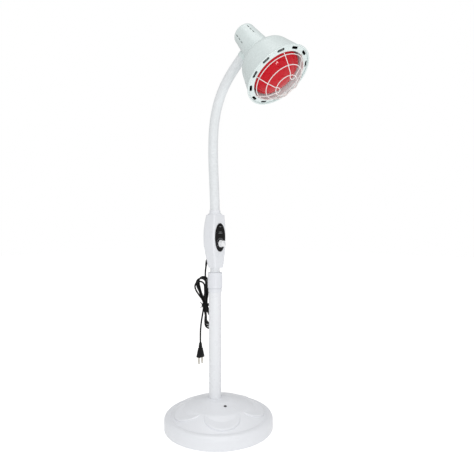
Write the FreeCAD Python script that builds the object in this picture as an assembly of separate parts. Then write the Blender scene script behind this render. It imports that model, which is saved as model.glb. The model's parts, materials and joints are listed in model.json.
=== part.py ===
import FreeCAD, Part

# Infrared heat lamp on a telescopic floor stand.
#
# A weighted base with a five-petal cover carries a two-stage pole with a twist lock, a control box with a rotary
# dimmer, a flexible neck, and a spun shade that holds a red reflector bulb behind a wire guard.
#
# Frame: origin on the floor at the centre of the base, +Z up, the lamp faces -Y. Lengths are millimetres, angles
# degrees.
import math
import os

from FreeCAD import Placement, Rotation, Vector

# ---- base -------------------------------------------------------------------------------------------------------
base_r = 140.0            # outside radius of the base
base_wall_z = 24.0        # height of the upright side wall
base_wall = 2.6           # thickness of the moulded cover
base_edge_r = 2.0         # rounding of the cover's lower edge
rim_gap = 0.8             # clearance between the cover's lower edge and the floor
shoulder_r = 12.0         # rounding between side wall and top
apron_z = 35.0            # height of the cover just inside the shoulder
apron_step = 5.0          # where the cover starts to rise, inwards of the shoulder
crown_r = 79.0            # the rise is steep outside this radius and shallow inside it
crown_z = 60.0
crown_round = 25.0
hub_r = 30.0              # flat of the hub around the pole
hub_z = 72.5
hub_round = 20.0
petal_count = 5
petal_r = 47.0            # radius of one raised petal, at its foot
petal_pitch_r = 72.5      # distance of a petal's centre from the axis
petal_mid_z = 45.6        # height of a petal's pivot
petal_depth = 30.0
petal_edge_z = 12.0       # height of a petal's top above its pivot
petal_draft = 3.0         # how much narrower a petal is at its top
petal_tilt = 18.0         # slope of a petal's top, down to its outer end
petal_turn = -61.0        # direction of the first petal
petal_edge_r = 4.0        # rounding of a petal's upper edge
pad_r = 116.0             # soft pad that the base stands on
pad_t = 2.0
plate_t = 1.5             # steel bottom plate
ballast_r = 116.0         # cast ballast
ballast_t = 24.0
boss_r = 4.0              # screw bosses inside the cover
boss_pitch_r = 126.0
boss_bite = 0.5
boss_bore = 12.0
screw_r = 1.6
screw_head_r = 3.0
screw_head_h = 1.2
bolt_r = 5.0              # bolt that pulls the pole down on the ballast
bolt_across = 15.0
bolt_head_gap = 1.0       # the bolt's head stays clear of the bottom plate
bolt_head_h = 6.0
washer_r = 9.0
washer_t = 1.5
anchor_h = 24.0           # threaded plug in the pole's foot
anchor_cap = 4.0          # solid metal above its bore
bolt_short = 8.0          # how far below the plug's top the bolt ends
plug_pitch_r = 46.0       # small black plug in the cover, beside the pole
plug_angle = -118.5
plug_seat_z = 68.4
plug_stem_r = 2.6
plug_cap_r = 3.8
plug_cap_h = 1.6
plug_stem_len = 8.0
fit = 0.2                 # general clearance between pieces that slip into each other

# ---- pole -------------------------------------------------------------------------------------------------------
pole_back = 12.0          # the pole stands this far behind the base's centre, against the pull of the head
outer_r = 16.0            # lower pole
outer_wall = 1.4
outer_top = 356.0
inner_r = 12.5            # upper pole, which slides in the lower one
inner_wall = 1.2
inner_foot = 67.0         # lowest point of the upper pole when lowered
inner_in_box = 24.0       # how far the upper pole reaches into the control box
foot_cap_h = 6.0          # plug in the foot of the upper pole: its cap and its stem
foot_stem_h = 16.0
slide_gap = 0.35          # clearance between pieces that slide or turn on each other
lip_z0 = outer_top - 7.5  # fixed lip under the twist lock
lip_h = 9.5
lip_r = 17.4
lock_r = 19.0             # twist lock sleeve
lock_h = 40.5
lock_rib_count = 18       # shallow grip grooves around the sleeve
lock_rib_r = 1.6
spigot_r = 15.6           # threaded spigot inside the sleeve
spigot_top = outer_top + 29.0
collet_h = 8.0            # split collet that grips the upper pole
collet_taper = 1.6        # how much thinner the collet is at its top
collet_slot_w = 1.4
collet_slot_up = 3.0      # where its slots start
glide_h = 20.0            # nylon bush between the two poles
glide_down = 1.0          # how far below the lower pole's top it sits

# ---- control box ------------------------------------------------------------------------------------------------
box_foot_z = outer_top + 55.0
box_sections = (          # height above the box's foot, half width, depth in front of the pole axis, depth behind it
    (0.0, 16.0, 16.0, 15.0),
    (19.0, 19.5, 17.0, 18.0),
    (44.0, 23.0, 17.0, 22.0),
    (74.0, 25.0, 17.0, 23.5),
    (104.0, 24.0, 17.0, 22.5),
    (124.0, 22.0, 17.0, 20.0),
    (136.0, 20.5, 17.0, 18.0),
)
box_top_z = box_foot_z + box_sections[-1][0]
box_front = box_sections[2][2]    # the flat front, measured from the pole axis
box_wall = 2.2
box_front_round = 5.0     # corner rounding at the front of the box
box_back_round = 11.5     # corner rounding at the back
box_split = 11.0          # the front cover starts this far in front of the pole axis
box_floor_t = 3.0
panel_z = box_foot_z + 78.0   # centre of the oval panel
panel_half_w = 19.5
panel_half_h = 36.5
panel_t = 1.2
knob_z = box_foot_z + 62.5
knob_r = 9.2
knob_h = 12.0
knob_skin = 3.0           # thickness of the knob's front
knob_mark_w = 1.2         # pointer groove
knob_mark_d = 0.8
knob_lift = 0.6           # gap between knob and panel
shaft_r = 3.0             # dimmer shaft
dimmer_half = 9.0         # half the width of the dimmer's square body
dimmer_depth = 12.0
block_half = 9.0          # terminal block above the dimmer
block_d = 9.0
block_h = 12.0
block_holes = 3
block_hole_r = 1.6
block_z = box_foot_z + 89.0
box_screw_zs = (box_foot_z + 42.0, box_foot_z + 112.0)   # screws that close the box, from behind
box_screw_back = 15.0
box_screw_tip = 3.5       # how far behind the front face a screw ends
box_post_r = 4.2
gland_back = 19.0         # where the cord gland leaves the back of the box, behind the pole axis
gland_z = box_foot_z + 30.0
gland_seat = 5.0          # how far the gland reaches into the box
gland_lean = 35.0         # gland axis, away from straight down
gland_len = 15.0
gland_r = 4.6

# ---- flexible neck ----------------------------------------------------------------------------------------------
neck_r = 12.6
neck_count = 8
neck_link_len = 51.5      # arc length of one link
neck_leans = (0.0, -3.0, -3.0, -1.0, 3.5, 14.0, 28.0, 43.0, 50.5)   # forward lean at the ends of the links
neck_ball_r = 8.5
neck_stem_r = 5.5
neck_skirt = 3.0          # how far a socket reaches past its ball's centre
neck_clear = 7.7          # where the link below the ball stops, so that it can swing
cuff_h = 12.0
cuff_foot_r = 19.0
stub_r = 8.5              # threaded stub at the lower end of the neck
stub_len = 14.0
nut_across = 22.0
nut_h = 5.0

# ---- head, in its own frame: +Z out of the mouth, origin at the centre of the face ring's outer face ---------------
head_tilt = 50.5          # how far the head points below the horizontal
neck_entry_h = -118.2     # where the neck enters the socket housing
neck_entry_r = 40.1       # distance of the neck's end from the head's axis
sheet = 1.0               # sheet thickness of the shade
shade_knee_r = 62.5       # corner between the flared wall and the sloping back
shade_knee_h = -63.5
shade_shoulder_r = 26.0   # rounding of that corner
bead_r = 2.0              # rolled edge at the mouth
bead_pitch_r = 80.9
bead_h = -0.5
skin_top_h = 0.8          # where the sheet ends inside the rolled edge
collar_r = 32.2           # collar at the back of the shade, inside the socket housing
collar_h0 = -94.0
collar_h1 = -84.5
ring_t = 1.2              # face ring
ring_mouth_r = 66.3       # inner edge, which stands forward of the outer one
ring_mouth_h = 1.8
ring_edge_r = 79.6        # outer edge, inside the rolled edge of the shade
ring_edge_h = -1.7
ring_hem_r = 61.6         # the inner edge turns back in a cone that ends here, around the bulb
ring_hem_h = -20.0
ring_slot_pitch_r = 73.8
ring_slot_count = 12
ring_slot_len = 18.0
ring_slot_w = 6.0
ring_cut_h = 5.0          # half the height of the cutter for the slots
housing_t = 1.6           # socket housing
housing_r0 = 34.0
housing_h0 = -85.5
housing_h1 = -96.0
housing_r1 = 27.8         # radius near the closed end
housing_h2 = -152.0
housing_end_h = -164.0
housing_round = 10.0
housing_lip_r = 3.0       # rounding behind the housing's wide end
saddle_r = 13.2           # boss between the neck and the housing
nipple_r = 5.0            # threaded tube through which the lamp's wires pass
nipple_in = 24.0
nipple_t = 1.2
bracket_r = 9.0
vent_rows = 5
vent_row_angle = 54.0
vent_heights = (-147.0, -135.0, -123.0)
vent_len = 8.5
vent_w = 2.4

# ---- bulb and lamp holder ----------------------------------------------------------------------------------------
bulb_r = 60.0
glass_t = 1.2
bulb_face_h = 9.0
bulb_neck_r = 12.6
bulb_cap_r = 13.1
bulb_cap_h0 = -148.0
bulb_cap_h1 = -121.5
holder_r = 21.0
holder_h0 = -156.0
holder_h1 = -119.0
bulb_neck_h = holder_h1 + 1.5     # the glass stays narrow up to here, clear of the holder
bulb_flare_r = 19.1
bulb_flare_h = -111.0
bulb_waist_r = 20.5
bulb_waist_h = -90.0
bulb_bell_r = 0.9 * bulb_r        # the reflector halfway
bulb_bell_h = -46.0
bulb_side_h0 = -26.0              # widest part of the glass
bulb_side_h1 = -9.0
bulb_lens_r = 0.7 * bulb_r        # the front face falls off outside this radius
bulb_lens_h = 4.0
stem_top_h = -76.0
filament_h = -52.0
filament_half = 11.0
lead_r = 0.5
coil_r = 1.1
shell_t = 0.5             # screw shell of the lamp holder
contact_t = 1.0
cap_threads = 3
cap_pitch = 5.0

# ---- wire guard --------------------------------------------------------------------------------------------------
wire_r = 0.9
dome_r = 77.8             # the guard's wires lie on this sphere
dome_centre_h = -39.5
guard_ring_rs = (63.0, 47.5, 28.3)
guard_turn = 104.0         # direction of the first hairpin
hairpin_count = 3
hairpin_root_r = 69.2     # where a hairpin's legs go into the face ring
hairpin_root_half = 26.0  # half the angle between its legs
hairpin_neck_x = 29.0     # where its legs meet the rounded nose
hairpin_neck_y = 9.2
hairpin_nose_x = 20.0
leg_depth = 6.0
weld_bite = 0.3

# ---- cord --------------------------------------------------------------------------------------------------------
cord_r = 2.2
view_turn = 51.5          # the hank hangs in a vertical plane turned this far from the lamp's front
cord_upper_route = (      # along the hank's plane, away from it (negative is behind), height above the box's foot
    (-24.6, -19.4, 2.0),
    (-26.6, -21.4, -13.0),
    (-28.0, -23.4, -27.0),
    (-29.0, -25.6, -40.0),
)
cord_tail_route = (
    (-31.0, -27.0, -113.0),
    (-34.4, -27.0, -126.0),
    (-37.6, -27.2, -144.0),
    (-39.8, -27.6, -164.0),
    (-40.6, -28.0, -184.0),
    (-40.4, -28.0, -202.0),
)
hank_stations = (         # height above the box's foot, place along the plane, half width, half thickness
    (-165.0, -17.0, 6.0, 4.0),
    (-158.0, -18.5, 10.5, 6.5),
    (-136.0, -21.5, 12.5, 7.5),
    (-116.0, -25.0, 9.0, 6.8),
    (-101.0, -27.5, 6.8, 6.5),
    (-86.0, -30.5, 10.5, 6.8),
    (-61.0, -35.5, 20.0, 7.0),
    (-41.0, -37.5, 19.0, 6.5),
    (-29.0, -38.5, 10.0, 3.6),
)
hank_back = 27.4          # distance of the hank's middle behind the pole's axis, seen along its plane
tie_z = -101.0            # height of the twist tie above the box's foot, at the hank's waist
tie_r = 1.1
tie_turns = 3
tie_pitch = 2.1
cord_exit = 9.0           # straight piece of cord at the gland
plug_len = 25.0
plug_relief = 14.0        # tapered strain relief
plug_w = 21.0
plug_d = 12.0
plug_relief_r = 5.2       # its wide end
blade_gap = 12.7          # standard two-blade plug
blade_len = 17.0
blade_w = 6.3
blade_t = 1.5
blade_hole_r = 1.6
blade_hole_up = 3.5
plug_round = 5.0

X = Vector(1, 0, 0)
Y = Vector(0, 1, 0)
Z = Vector(0, 0, 1)
POLE = Vector(0, pole_back, 0)
NODES = {}


def node(name, *shapes):
    """Keeps one or more solids as a named node, at their place in the frame."""
    solids = [s for shape in shapes for s in shape.Solids]
    NODES[name] = solids[0] if len(solids) == 1 else Part.makeCompound(solids)


def path(points, radii, closed=False):
    """A wire of straight runs joined by tangent arcs, one radius for each corner; 0 leaves it sharp."""
    count = len(points)
    corners = []
    for i, point in enumerate(points):
        if radii[i] == 0 or (not closed and i in (0, count - 1)):
            corners.append((point, None, point))
            continue
        back = (points[i - 1] - point).normalize()
        ahead = (points[(i + 1) % count] - point).normalize()
        half = back.getAngle(ahead) / 2
        reach = radii[i] / math.tan(half)
        middle = point + (back + ahead).normalize() * (radii[i] / math.sin(half) - radii[i])
        corners.append((point + back * reach, middle, point + ahead * reach))
    edges = []
    for i, (start, middle, end) in enumerate(corners):
        if middle is not None:
            edges.append(Part.Arc(start, middle, end).toShape())
        if i < count - 1 or closed:
            follow = corners[(i + 1) % count][0]
            if (follow - end).Length > 1e-6:
                edges.append(Part.LineSegment(end, follow).toShape())
    return Part.Wire(edges)


def turned(profile):
    """A solid of revolution about Z from (radius, height, corner radius) points."""
    points = [Vector(r, 0, z) for r, z, _ in profile]
    face = Part.Face(path(points, [p[2] for p in profile], closed=True))
    return face.revolve(Vector(), Z, 360)


def rod(r, z0, z1, centre=Vector()):
    return Part.makeCylinder(r, z1 - z0, Vector(centre.x, centre.y, z0))


def tube(r_out, r_in, z0, z1, centre=Vector()):
    return rod(r_out, z0, z1, centre).cut(rod(r_in, z0, z1, centre))


def along(start, direction, r, length):
    return Part.makeCylinder(r, length, start, direction)


def polar(r, angle, z=0.0):
    return Vector(r * math.cos(math.radians(angle)), r * math.sin(math.radians(angle)), z)


def turned_copies(shape, count, centre=Vector(), first=0.0, step=None):
    """Copies of a shape, turned about Z through centre."""
    step = step or 360.0 / count
    copies = []
    for i in range(count):
        copy = shape.copy()
        copy.rotate(centre, Z, first + i * step)
        copies.append(copy)
    return copies


def sweep(wire, r):
    """A round rod of radius r along a wire."""
    start = wire.Edges[0]
    at = start.valueAt(start.FirstParameter)
    tangent = start.tangentAt(start.FirstParameter)
    ring = Part.Wire(Part.makeCircle(r, at, tangent))
    return wire.makePipeShell([ring], True, True)


def hexagon(across, z0, z1, centre=Vector()):
    corners = [centre + polar(across / math.sqrt(3), 60 * i, z0) for i in range(7)]
    return Part.Face(Part.makePolygon(corners)).extrude(Vector(0, 0, z1 - z0))


# ==== base ========================================================================================================
def base_form(inset):
    """The outside of the base cover, or the same form moved inwards by the wall: a dome with petals let into it."""
    r = base_r - inset
    foot_z = 0 if inset else rim_gap
    dome = turned((
        (0, foot_z, 0),
        (r, foot_z, 0 if inset else base_edge_r),
        (r, base_wall_z + shoulder_r - inset, shoulder_r - inset),
        (base_r - shoulder_r - apron_step, apron_z - inset, 0),
        (crown_r, crown_z - inset, crown_round),
        (hub_r, hub_z - inset, hub_round),
        (0, hub_z - inset, 0),
    ))
    petals = []
    for i in range(petal_count):
        petal = turned((
            (0, -petal_depth, 0),
            (petal_r - inset, -petal_depth, 0),
            (petal_r - inset, 0, 0),
            (petal_r - inset - petal_draft, petal_edge_z - inset, petal_edge_r - inset),
            (0, petal_edge_z - inset, 0),
        ))
        petal.rotate(Vector(), Y, petal_tilt)
        petal.translate(Vector(petal_pitch_r, 0, petal_mid_z))
        petal.rotate(Vector(), Z, petal_turn + i * 360.0 / petal_count)
        petals.append(petal)
    return dome.multiFuse(petals)


def boss_centres():
    """Screw positions under the valleys between the petals."""
    step = 360.0 / petal_count
    return [polar(boss_pitch_r, petal_turn + (i + 0.5) * step) for i in range(petal_count)]


def base():
    plate_top = pad_t + plate_t
    cover = base_form(0).cut(base_form(base_wall))
    for at in boss_centres():
        cover = cover.fuse(rod(boss_r, plate_top, apron_z - base_wall + boss_bite, at))
    for at in boss_centres():
        cover = cover.cut(rod(screw_r, plate_top, plate_top + boss_bore, at))
    cover = cover.cut(rod(outer_r, plate_top, hub_z + 1, POLE))
    plug_at = polar(plug_pitch_r, plug_angle)
    cover = cover.cut(rod(plug_stem_r, apron_z, hub_z + 1, plug_at))
    node("base_cover", cover)
    top = plug_seat_z
    cap_z = top + plug_cap_h
    cap = turned(((0, top, 0), (plug_cap_r, top, 0), (plug_cap_r, cap_z, 1.2), (0, cap_z, 0)))
    hole_plug = cap.fuse(rod(plug_stem_r, top - plug_stem_len, top))
    hole_plug.translate(plug_at)
    node("base_hole_plug", hole_plug.cut(cover))

    plate = rod(base_r - base_wall - fit, pad_t, plate_top)
    screws = []
    for at in boss_centres():
        plate = plate.cut(rod(screw_r, pad_t, plate_top, at))
        head = turned(((0, pad_t - screw_head_h, 0), (screw_head_r, pad_t - screw_head_h, 0.5),
                       (screw_head_r, pad_t, 0), (0, pad_t, 0)))
        head.translate(at)
        screws.append(head.fuse(rod(screw_r, pad_t, plate_top + boss_bore - 2, at)))
    node("base_bottom_plate", plate)
    node("base_screws", *screws)
    node("base_pad", rod(pad_r, 0, pad_t))


def pole_foot():
    """Ballast, the bolt through it and the threaded anchor inside the foot of the lower pole."""
    plate_top = pad_t + plate_t
    ballast_top = plate_top + ballast_t
    anchor_top = ballast_top + anchor_h
    head_top = plate_top + bolt_head_gap + bolt_head_h
    washer_top = head_top + washer_t
    ballast = rod(ballast_r, plate_top, ballast_top)
    ballast = ballast.cut(rod(bolt_r, plate_top, ballast_top, POLE))
    ballast = ballast.cut(rod(washer_r + 1, plate_top, washer_top, POLE))
    node("ballast_weight", ballast)
    anchor = rod(outer_r - outer_wall, ballast_top, anchor_top, POLE)
    node("pole_anchor", anchor.cut(rod(bolt_r, ballast_top, anchor_top - anchor_cap, POLE)))
    head = hexagon(bolt_across, plate_top + bolt_head_gap, head_top, POLE)
    node("pole_bolt", head.fuse(rod(bolt_r, head_top, anchor_top - bolt_short, POLE)))
    node("pole_bolt_washer", tube(washer_r, bolt_r, head_top, washer_top, POLE))
    node("lower_pole", tube(outer_r, outer_r - outer_wall, ballast_top, outer_top, POLE))


# ==== twist lock and upper pole ===================================================================================
def twist_lock():
    lip_z1 = lip_z0 + lip_h
    bore_r = inner_r + slide_gap
    lip = turned(((outer_r, lip_z0, 0), (lip_r, lip_z0, 0.8), (lip_r, lip_z1, 0.4), (spigot_r, lip_z1, 0),
                  (spigot_r, spigot_top, 1.0), (bore_r, spigot_top, 0), (bore_r, outer_top, 0), (outer_r, outer_top, 0)))
    lip.translate(POLE)
    node("lock_collar", lip)
    collet = turned(((bore_r, spigot_top, 0), (spigot_r, spigot_top, 0), (spigot_r - collet_taper, spigot_top + collet_h, 0),
                     (bore_r, spigot_top + collet_h, 0)))
    corner = Vector(0, -collet_slot_w / 2, spigot_top + collet_slot_up)
    slots = [Part.makeBox(2 * spigot_r, collet_slot_w, collet_h, corner) for _ in range(4)]
    for i, slot in enumerate(slots):
        slot.rotate(Vector(), Z, 45 + 90 * i)
        collet = collet.cut(slot)
    collet.translate(POLE)
    node("lock_collet", collet)
    z0 = lip_z1 + slide_gap
    z1 = z0 + lock_h
    in_r = spigot_r + slide_gap
    sleeve = turned(((in_r, z0, 0), (lock_r, z0, 1.2), (lock_r, z1, 3.0), (bore_r, z1, 0.8),
                     (bore_r, spigot_top + collet_h + slide_gap, 0), (in_r, spigot_top + collet_h + slide_gap, 0)))
    for i in range(lock_rib_count):
        groove = rod(lock_rib_r, z0 + 6, z1 - 8, polar(lock_r + lock_rib_r - 0.5, i * 360.0 / lock_rib_count))
        sleeve = sleeve.cut(groove)
    sleeve.translate(POLE)
    node("lock_sleeve", sleeve)
    bush_top = outer_top - glide_down
    node("pole_bush", tube(outer_r - outer_wall - slide_gap, bore_r, bush_top - glide_h, bush_top, POLE))


def upper_pole():
    inner_top = box_foot_z + inner_in_box
    node("upper_pole", tube(inner_r, inner_r - inner_wall, inner_foot, inner_top, POLE))
    foot = rod(outer_r - outer_wall - slide_gap, inner_foot - foot_cap_h, inner_foot, POLE)
    node("upper_pole_foot", foot.fuse(rod(inner_r - inner_wall, inner_foot, inner_foot + foot_stem_h, POLE)))


# ==== control box =================================================================================================
def box_outline(z, half_w, front, back, inset):
    x0, y0, y1 = half_w - inset, pole_back - front + inset, pole_back + back - inset
    corners = (Vector(-x0, y0, z), Vector(x0, y0, z), Vector(x0, y1, z), Vector(-x0, y1, z))
    front_r, back_r = box_front_round - inset / 2, box_back_round - inset
    return path(corners, (front_r, front_r, back_r, back_r), closed=True)


def box_form(inset, lift, drop):
    """The box as a smooth skin through its sections; inset, lift and drop give the cavity."""
    last = len(box_sections) - 1
    rings = []
    for i, (up, half_w, front, back) in enumerate(box_sections):
        shift = lift if i == 0 else -drop if i == last else 0
        rings.append(box_outline(box_foot_z + up + shift, half_w, front, back, inset))
    return Part.makeLoft(rings, True, False)


def oval(half_w, half_h, y0, y1, z):
    """An upright oval plate between two distances in front of the pole axis."""
    ring = Part.Ellipse(Vector(0, 0, 0), half_h, half_w).toShape()
    ring.rotate(Vector(), Z, 90)
    ring.rotate(Vector(), X, 90)
    ring.translate(Vector(0, pole_back - y0, z))
    return Part.Face(Part.Wire(ring)).extrude(Vector(0, y0 - y1, 0))


def control_box():
    bottom, top = box_foot_z, box_top_z
    front_y = box_front
    outside = box_form(0, 0, 0)
    cavity = box_form(box_wall, box_floor_t, box_wall)
    shell = outside.cut(cavity)
    shell = shell.cut(rod(inner_r, bottom, bottom + box_floor_t, POLE))
    shell = shell.cut(rod(stub_r, top - 4, top, POLE))
    split_y = pole_back - box_split
    ahead = Part.makeBox(100, 100, 200, Vector(-50, split_y - 100, bottom - 20))
    behind = Part.makeBox(100, 100, 200, Vector(-50, split_y, bottom - 20))
    front = shell.common(ahead)
    shaft_hole = along(Vector(0, pole_back - front_y - 4, knob_z), Y, shaft_r + slide_gap, 10)
    front = front.cut(shaft_hole)
    for z in box_screw_zs:
        post = along(Vector(0, pole_back - front_y + box_wall / 2, z), Y, box_post_r, front_y - box_split - box_wall / 2)
        tip = along(Vector(0, pole_back - front_y + box_screw_tip, z), Y, screw_r, front_y - box_split)
        front = front.fuse(post).cut(tip)
    node("box_front_cover", front)
    face = Vector(0, pole_back - front_y, 0)
    panel = oval(panel_half_w, panel_half_h, front_y, front_y + panel_t, panel_z)
    node("dial_panel", panel.cut(outside).cut(shaft_hole))

    lean = math.radians(gland_lean)
    gland_axis = Vector(0, math.sin(lean), -math.cos(lean))
    seat = POLE + Vector(0, gland_back, gland_z)
    gland = Part.makeCone(gland_r + 0.6, gland_r - 0.8, gland_len, seat - gland_axis * gland_seat, gland_axis)
    rear = shell.common(behind).cut(gland)
    screw_shapes = []
    for z in box_screw_zs:
        start = Vector(0, pole_back + box_screw_back, z)
        post = along(Vector(0, split_y, z), Y, box_post_r, 30).common(outside)
        shank = along(start, Y * -1, screw_r, front_y + box_screw_back - box_screw_tip)
        recess = along(start, Y, screw_head_r + fit, 30)
        rear = rear.fuse(post).cut(shank).cut(recess)
        screw_shapes.append(shank.fuse(along(start, Y, screw_head_r, screw_head_h)))
    node("box_rear_shell", rear)
    node("box_screws", *screw_shapes)
    node("cord_gland", gland)

    inner_y = front_y - box_wall
    dimmer = Part.makeBox(2 * dimmer_half, dimmer_depth, 2 * dimmer_half,
                          face + Vector(-dimmer_half, box_wall, knob_z - dimmer_half))
    bore = along(Vector(0, pole_back - inner_y, knob_z), Y, shaft_r + slide_gap, dimmer_depth - 2)
    node("dimmer", dimmer.cut(bore).cut(shell))
    block = Part.makeBox(2 * block_half, block_d, block_h, face + Vector(-block_half, box_wall, block_z))
    for i in range(block_holes):
        x = (i - 1) * 2 * block_half / block_holes
        block = block.cut(along(face + Vector(x, box_wall + block_d / 2, block_z), Z, block_hole_r, block_h))
    node("terminal_block", block)


def knob():
    front_y = box_front + panel_t + knob_lift
    base_at = Vector(0, pole_back - front_y, knob_z)
    body = turned(((0, 0, 0), (knob_r, 0, 0.6), (knob_r, 2.5, 0), (knob_r - 0.9, 3.2, 0),
                   (knob_r - 1.4, knob_h, 1.4), (0, knob_h, 0)))
    body = body.cut(rod(shaft_r, 0, knob_h - knob_skin))
    mark_at = Vector(-knob_mark_w / 2, 0, knob_h - knob_mark_d)
    body = body.cut(Part.makeBox(knob_mark_w, knob_r, knob_mark_d, mark_at))
    body.rotate(Vector(), X, 90)
    body.translate(base_at)
    node("knob", body)
    shaft_end = box_front - box_wall - dimmer_depth + knob_skin
    shaft_tip = knob_h - knob_skin
    node("dimmer_shaft", along(base_at - Y * shaft_tip, Y, shaft_r, front_y + shaft_tip - shaft_end))


# ==== flexible neck ===============================================================================================
def lean_vector(lean):
    a = math.radians(lean)
    return Vector(0, -math.sin(a), math.cos(a))


def neck_nodes():
    """Joint centres up the neck's curve, with the lean at each."""
    at = POLE + Vector(0, 0, box_top_z)
    stops = [(at, neck_leans[0])]
    for a, b in zip(neck_leans, neck_leans[1:]):
        half = math.radians(b - a) / 2
        chord = neck_link_len * (math.sin(half) / half if abs(half) > 1e-9 else 1.0)
        at = at + lean_vector((a + b) / 2) * chord
        stops.append((at, b))
    return stops


def neck_arc(start, lean, bend, s0, s1, r):
    """A round bar of radius r that follows a link's curve from s0 to s1 along it."""
    rate = math.radians(bend) / neck_link_len
    if abs(rate) < 1e-9:
        return along(start + lean_vector(lean) * s0, lean_vector(lean), r, s1 - s0)
    a = math.radians(lean)
    centre = start + Vector(0, -math.cos(a), -math.sin(a)) * (1 / rate)
    disc = Part.Face(Part.Wire(Part.makeCircle(r, start, lean_vector(lean))))
    disc.rotate(centre, X, math.degrees(rate * s0))
    return disc.revolve(centre, X, math.degrees(rate * (s1 - s0)))


def neck_link(index, start, end):
    """One link: a cup over the ball below it, a curved barrel, and a ball on a stem at its upper end."""
    (p0, a0), (p1, a1) = start, end
    first, last = index == 1, index == neck_count
    s0 = 0 if first else -neck_skirt
    s1 = neck_link_len if last else neck_link_len - neck_clear
    link = neck_arc(p0, a0, a1 - a0, s0, s1, neck_r)
    if not last:
        link = link.fuse(neck_arc(p0, a0, a1 - a0, s1 - 2, neck_link_len - 4, neck_stem_r))
        link = link.fuse(Part.makeSphere(neck_ball_r, p1))
    if first:
        link = link.fuse(along(p0 - Z * stub_len, Z, stub_r, stub_len))
    else:
        link = link.cut(Part.makeSphere(neck_ball_r + slide_gap, p0))
    return link


def neck():
    stops = neck_nodes()
    for i in range(neck_count):
        node("neck_link_%d" % (i + 1), neck_link(i + 1, stops[i], stops[i + 1]))
    top = box_top_z
    cuff = turned(((neck_r, top, 0), (cuff_foot_r, top, 0), (cuff_foot_r, top + 1.5, 0.5),
                   (neck_r + 1.6, top + 4.0, 5.0), (neck_r + 1.4, top + cuff_h, 0.6), (neck_r, top + cuff_h, 0)))
    cuff.translate(POLE)
    node("neck_cuff", cuff)
    nut_z = top - box_wall
    nut = hexagon(nut_across, nut_z - nut_h, nut_z, POLE)
    node("neck_nut", nut.cut(rod(stub_r, nut_z - nut_h, nut_z, POLE)))


# ==== head ========================================================================================================
def head_place():
    """Where the head's own frame sits: its back side meets the end of the neck."""
    end, _ = neck_nodes()[-1]
    turn = Rotation(X, 90 + head_tilt)
    return Placement(end - turn.multVec(Vector(0, -neck_entry_r, neck_entry_h)), turn)


def head_node(name, *shapes):
    place = head_place()
    moved = []
    for shape in shapes:
        copy = shape.copy()
        copy.Placement = place.multiply(copy.Placement)
        moved.append(copy)
    node(name, *moved)


def shade():
    t = sheet
    skin = turned((
        (bead_pitch_r - t / 2, skin_top_h, 0), (bead_pitch_r + t / 2, skin_top_h, 0),
        (shade_knee_r, shade_knee_h, shade_shoulder_r), (collar_r, collar_h1, 2.0), (collar_r, collar_h0, 0),
        (collar_r - t, collar_h0, 0), (collar_r - t, collar_h1 + t / 2, 1.0),
        (shade_knee_r - t, shade_knee_h + t / 2, shade_shoulder_r - t),
    ))
    bead = Part.makeTorus(bead_pitch_r, bead_r, Vector(0, 0, bead_h), Z)
    shell = skin.fuse(bead)
    head_node("shade", shell)

    slope = (ring_mouth_h - ring_edge_h) / (ring_edge_r - ring_mouth_r)
    ring = turned((
        (ring_hem_r, ring_hem_h, 0), (ring_hem_r + ring_t, ring_hem_h, 0),
        (ring_mouth_r + ring_t, ring_mouth_h - ring_t * (1 + slope), 0), (ring_edge_r, ring_edge_h - ring_t, 0),
        (ring_edge_r, ring_edge_h, 0), (ring_mouth_r, ring_mouth_h, 1.0),
    ))
    half = ring_slot_len / 2 - ring_slot_w / 2
    corner = Vector(ring_slot_pitch_r - ring_slot_w / 2, -half, -ring_cut_h)
    cutter = Part.makeBox(ring_slot_w, 2 * half, 2 * ring_cut_h, corner)
    for side in (-half, half):
        cutter = cutter.fuse(rod(ring_slot_w / 2, -ring_cut_h, ring_cut_h, Vector(ring_slot_pitch_r, side, 0)))
    for slot in turned_copies(cutter, ring_slot_count, first=180.0 / ring_slot_count):
        ring = ring.cut(slot)
    for pin in hairpins():
        ring = ring.cut(pin)
    head_node("face_ring", ring.cut(shell))


def socket_housing():
    t = housing_t
    form = turned((
        (0, housing_end_h, 0), (housing_r1, housing_end_h, housing_round), (housing_r1, housing_h2, 0),
        (housing_r0, housing_h1, housing_lip_r), (housing_r0, housing_h0, 0), (housing_r0 - t, housing_h0, 0),
        (housing_r0 - t, collar_h0, 0), (collar_r - t, collar_h0, 0), (housing_r1 - t, housing_h2, 0),
        (housing_r1 - t, housing_end_h + t, housing_round - t), (0, housing_end_h + t, 0),
    ))
    for i in range(vent_rows):
        row = vent_row_angle + i * 360.0 / vent_rows
        for h in vent_heights:
            if row == 270.0 and abs(h - neck_entry_h) < saddle_r:
                continue
            slot = Part.makeBox(12, vent_w, vent_len, Vector(housing_r1 - 6, -vent_w / 2, h - vent_len / 2))
            slot.rotate(Vector(), Z, row)
            form = form.cut(slot)
    entry = Vector(0, 0, neck_entry_h)
    back = Vector(0, -1, 0)
    form = form.cut(along(entry, back, nipple_r, neck_entry_r))
    head_node("socket_housing", form)
    solid_form = turned(((0, housing_end_h, 0), (housing_r1, housing_end_h, housing_round),
                         (housing_r1, housing_h2, 0), (housing_r0, housing_h1, housing_lip_r), (housing_r0, housing_h0, 0),
                         (0, housing_h0, 0)))
    saddle = along(entry + back * nipple_in, back, saddle_r, neck_entry_r - nipple_in).cut(solid_form)
    head_node("neck_saddle", saddle.cut(along(entry, back, nipple_r, neck_entry_r)))
    nipple = along(entry + back * nipple_in, back, nipple_r, neck_entry_r - nipple_in)
    head_node("neck_nipple", nipple.cut(along(entry, back, nipple_r - nipple_t, neck_entry_r)))
    bracket = rod(bracket_r, housing_end_h + t, holder_h0)
    head_node("holder_bracket", bracket)


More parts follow.
